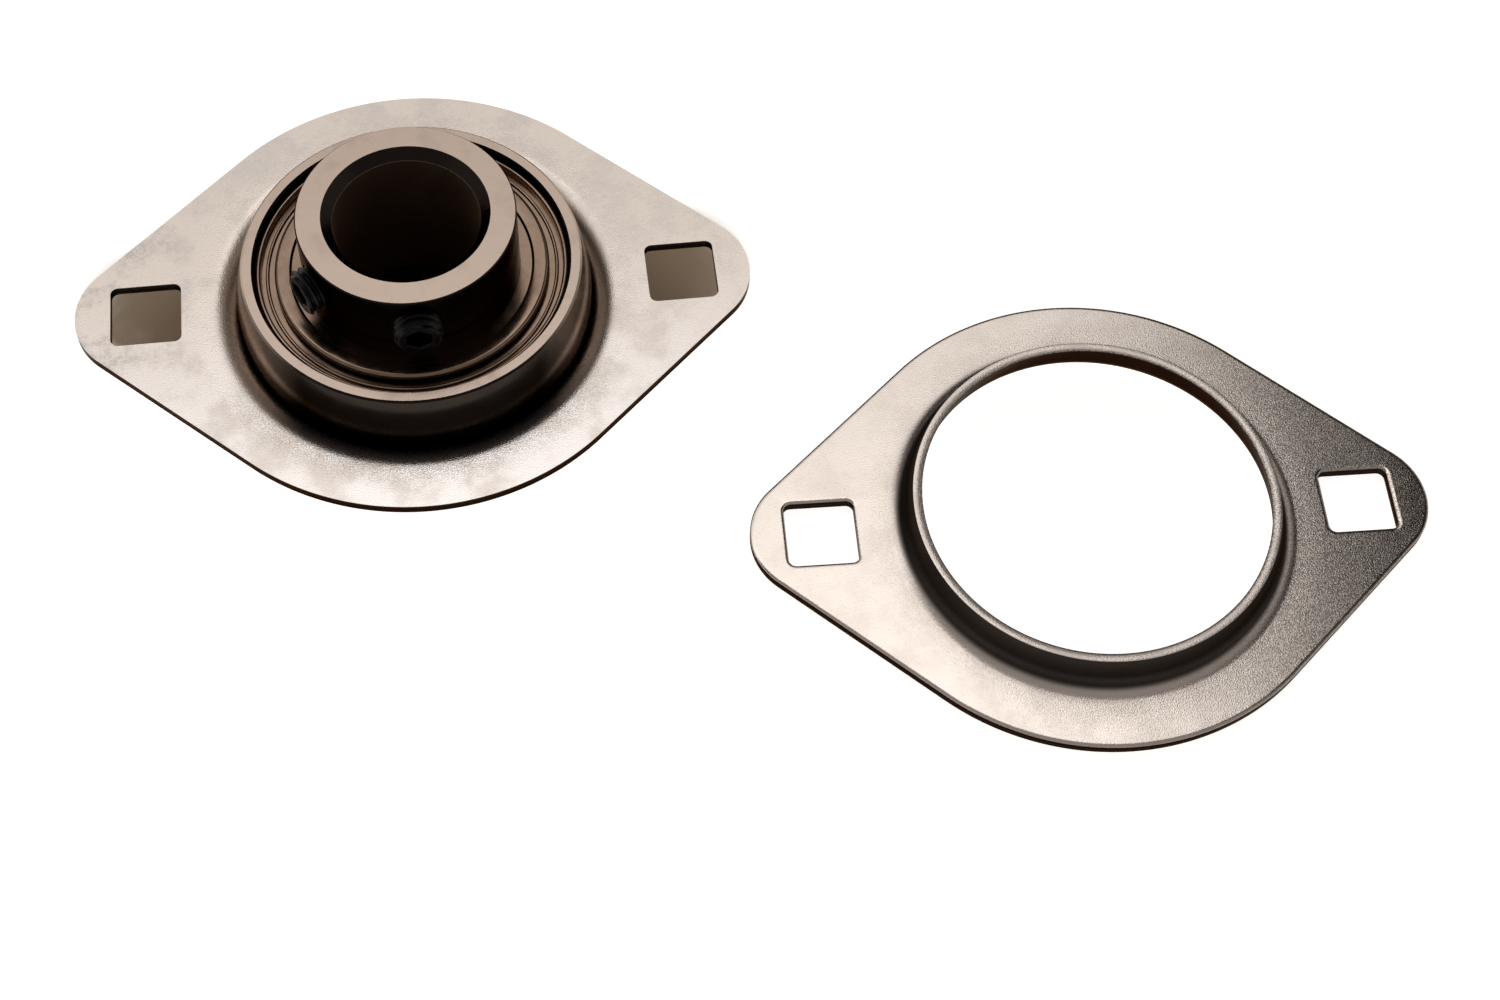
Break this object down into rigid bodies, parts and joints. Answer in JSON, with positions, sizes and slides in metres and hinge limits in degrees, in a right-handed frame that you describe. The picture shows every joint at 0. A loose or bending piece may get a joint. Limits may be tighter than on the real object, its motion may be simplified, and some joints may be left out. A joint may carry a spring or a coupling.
{
  "type": "flange bearing",
  "caption": "Pressed-steel flange unit for a shaft: a self-aligning set-screw insert bearing in the seat of a diamond-shaped plate, with the matching plate lying beside it.",
  "frame": {"origin": "centre of the outer ring's sphere, on the bore axis, in the plane where the two flange plates meet", "axes": "+Z along the bore towards the set screws, +X along the length of the plate that carries the bearing"},
  "size_m": [0.1754, 0.1069, 0.025],
  "materials": {
    "bearing_flange_steel": "zinc plated, faintly mottled, satin",
    "loose_flange_steel": "plated, satin, fine grain",
    "ring_steel": "ground faces, polished sphere",
    "ball_steel": "polished",
    "cage_steel": "pressed sheet, satin",
    "seal_steel": "pressed sheet, satin",
    "seal_rubber": "matt nitrile rubber",
    "screw_steel": "black oxide"
  },
  "bodies": {
    "flanges": {"bearing_flange": "bearing_flange_steel", "loose_flange": "loose_flange_steel"},
    "outer_race": {"outer_ring": "ring_steel", "front_seal_shell": "seal_steel", "rear_seal_shell": "seal_steel", "front_seal_lip": "seal_rubber", "rear_seal_lip": "seal_rubber"},
    "inner_race": {"inner_ring": "ring_steel", "front_flinger": "seal_steel", "rear_flinger": "seal_steel"},
    "set_screw_left": {"set_screw_left": "screw_steel"},
    "set_screw_front": {"set_screw_front": "screw_steel"},
    "cage": {"cage_front_half": "cage_steel", "cage_rear_half": "cage_steel", "cage_rivets": "cage_steel"},
    "ball_1": {"ball_1": "ball_steel"},
    "ball_2": {"ball_2": "ball_steel"},
    "ball_3": {"ball_3": "ball_steel"},
    "ball_4": {"ball_4": "ball_steel"},
    "ball_5": {"ball_5": "ball_steel"},
    "ball_6": {"ball_6": "ball_steel"},
    "ball_7": {"ball_7": "ball_steel"},
    "ball_8": {"ball_8": "ball_steel"}
  },
  "joints": [
    {"name": "ring_swivel", "type": "hinge", "parent": "flanges", "child": "outer_race", "pos_m": [0, 0, 0], "axis": [1, 0, 0], "range_deg": [-5, 5]},
    {"name": "inner_ring_spin", "type": "hinge", "parent": "outer_race", "child": "inner_race", "pos_m": [0, 0, 0], "axis": [0, 0, 1], "continuous": true},
    {"name": "cage_orbit", "type": "hinge", "parent": "outer_race", "child": "cage", "pos_m": [0, 0, 0], "axis": [0, 0, 1], "continuous": true},
    {"name": "ball_1_spin", "type": "hinge", "parent": "cage", "child": "ball_1", "pos_m": [0.01184, 0.01184, 0], "axis": [0, 0, 1], "continuous": true},
    {"name": "ball_2_spin", "type": "hinge", "parent": "cage", "child": "ball_2", "pos_m": [0, 0.01675, 0], "axis": [0, 0, 1], "continuous": true},
    {"name": "ball_3_spin", "type": "hinge", "parent": "cage", "child": "ball_3", "pos_m": [-0.01184, 0.01184, 0], "axis": [0, 0, 1], "continuous": true},
    {"name": "ball_4_spin", "type": "hinge", "parent": "cage", "child": "ball_4", "pos_m": [-0.01675, 0, 0], "axis": [0, 0, 1], "continuous": true},
    {"name": "ball_5_spin", "type": "hinge", "parent": "cage", "child": "ball_5", "pos_m": [-0.01184, -0.01184, 0], "axis": [0, 0, 1], "continuous": true},
    {"name": "ball_6_spin", "type": "hinge", "parent": "cage", "child": "ball_6", "pos_m": [0, -0.01675, 0], "axis": [0, 0, 1], "continuous": true},
    {"name": "ball_7_spin", "type": "hinge", "parent": "cage", "child": "ball_7", "pos_m": [0.01184, -0.01184, 0], "axis": [0, 0, 1], "continuous": true},
    {"name": "ball_8_spin", "type": "hinge", "parent": "cage", "child": "ball_8", "pos_m": [0.01675, 0, 0], "axis": [0, 0, 1], "continuous": true},
    {"name": "set_screw_left_travel", "type": "slide", "parent": "inner_race", "child": "set_screw_left", "axis": [-0.8788, -0.4772, 0], "range_m": [-0.0005, 0.003]},
    {"name": "set_screw_front_travel", "type": "slide", "parent": "inner_race", "child": "set_screw_front", "axis": [0.0262, -0.9997, 0], "range_m": [-0.0005, 0.003]}
  ],
  "couplings": [
    {"joint": "cage_orbit", "follows": "inner_ring_spin", "ratio": 0.38152},
    {"joint": "ball_1_spin", "follows": "inner_ring_spin", "ratio": -1.9916},
    {"joint": "ball_2_spin", "follows": "inner_ring_spin", "ratio": -1.9916},
    {"joint": "ball_3_spin", "follows": "inner_ring_spin", "ratio": -1.9916},
    {"joint": "ball_4_spin", "follows": "inner_ring_spin", "ratio": -1.9916},
    {"joint": "ball_5_spin", "follows": "inner_ring_spin", "ratio": -1.9916},
    {"joint": "ball_6_spin", "follows": "inner_ring_spin", "ratio": -1.9916},
    {"joint": "ball_7_spin", "follows": "inner_ring_spin", "ratio": -1.9916},
    {"joint": "ball_8_spin", "follows": "inner_ring_spin", "ratio": -1.9916}
  ]
}
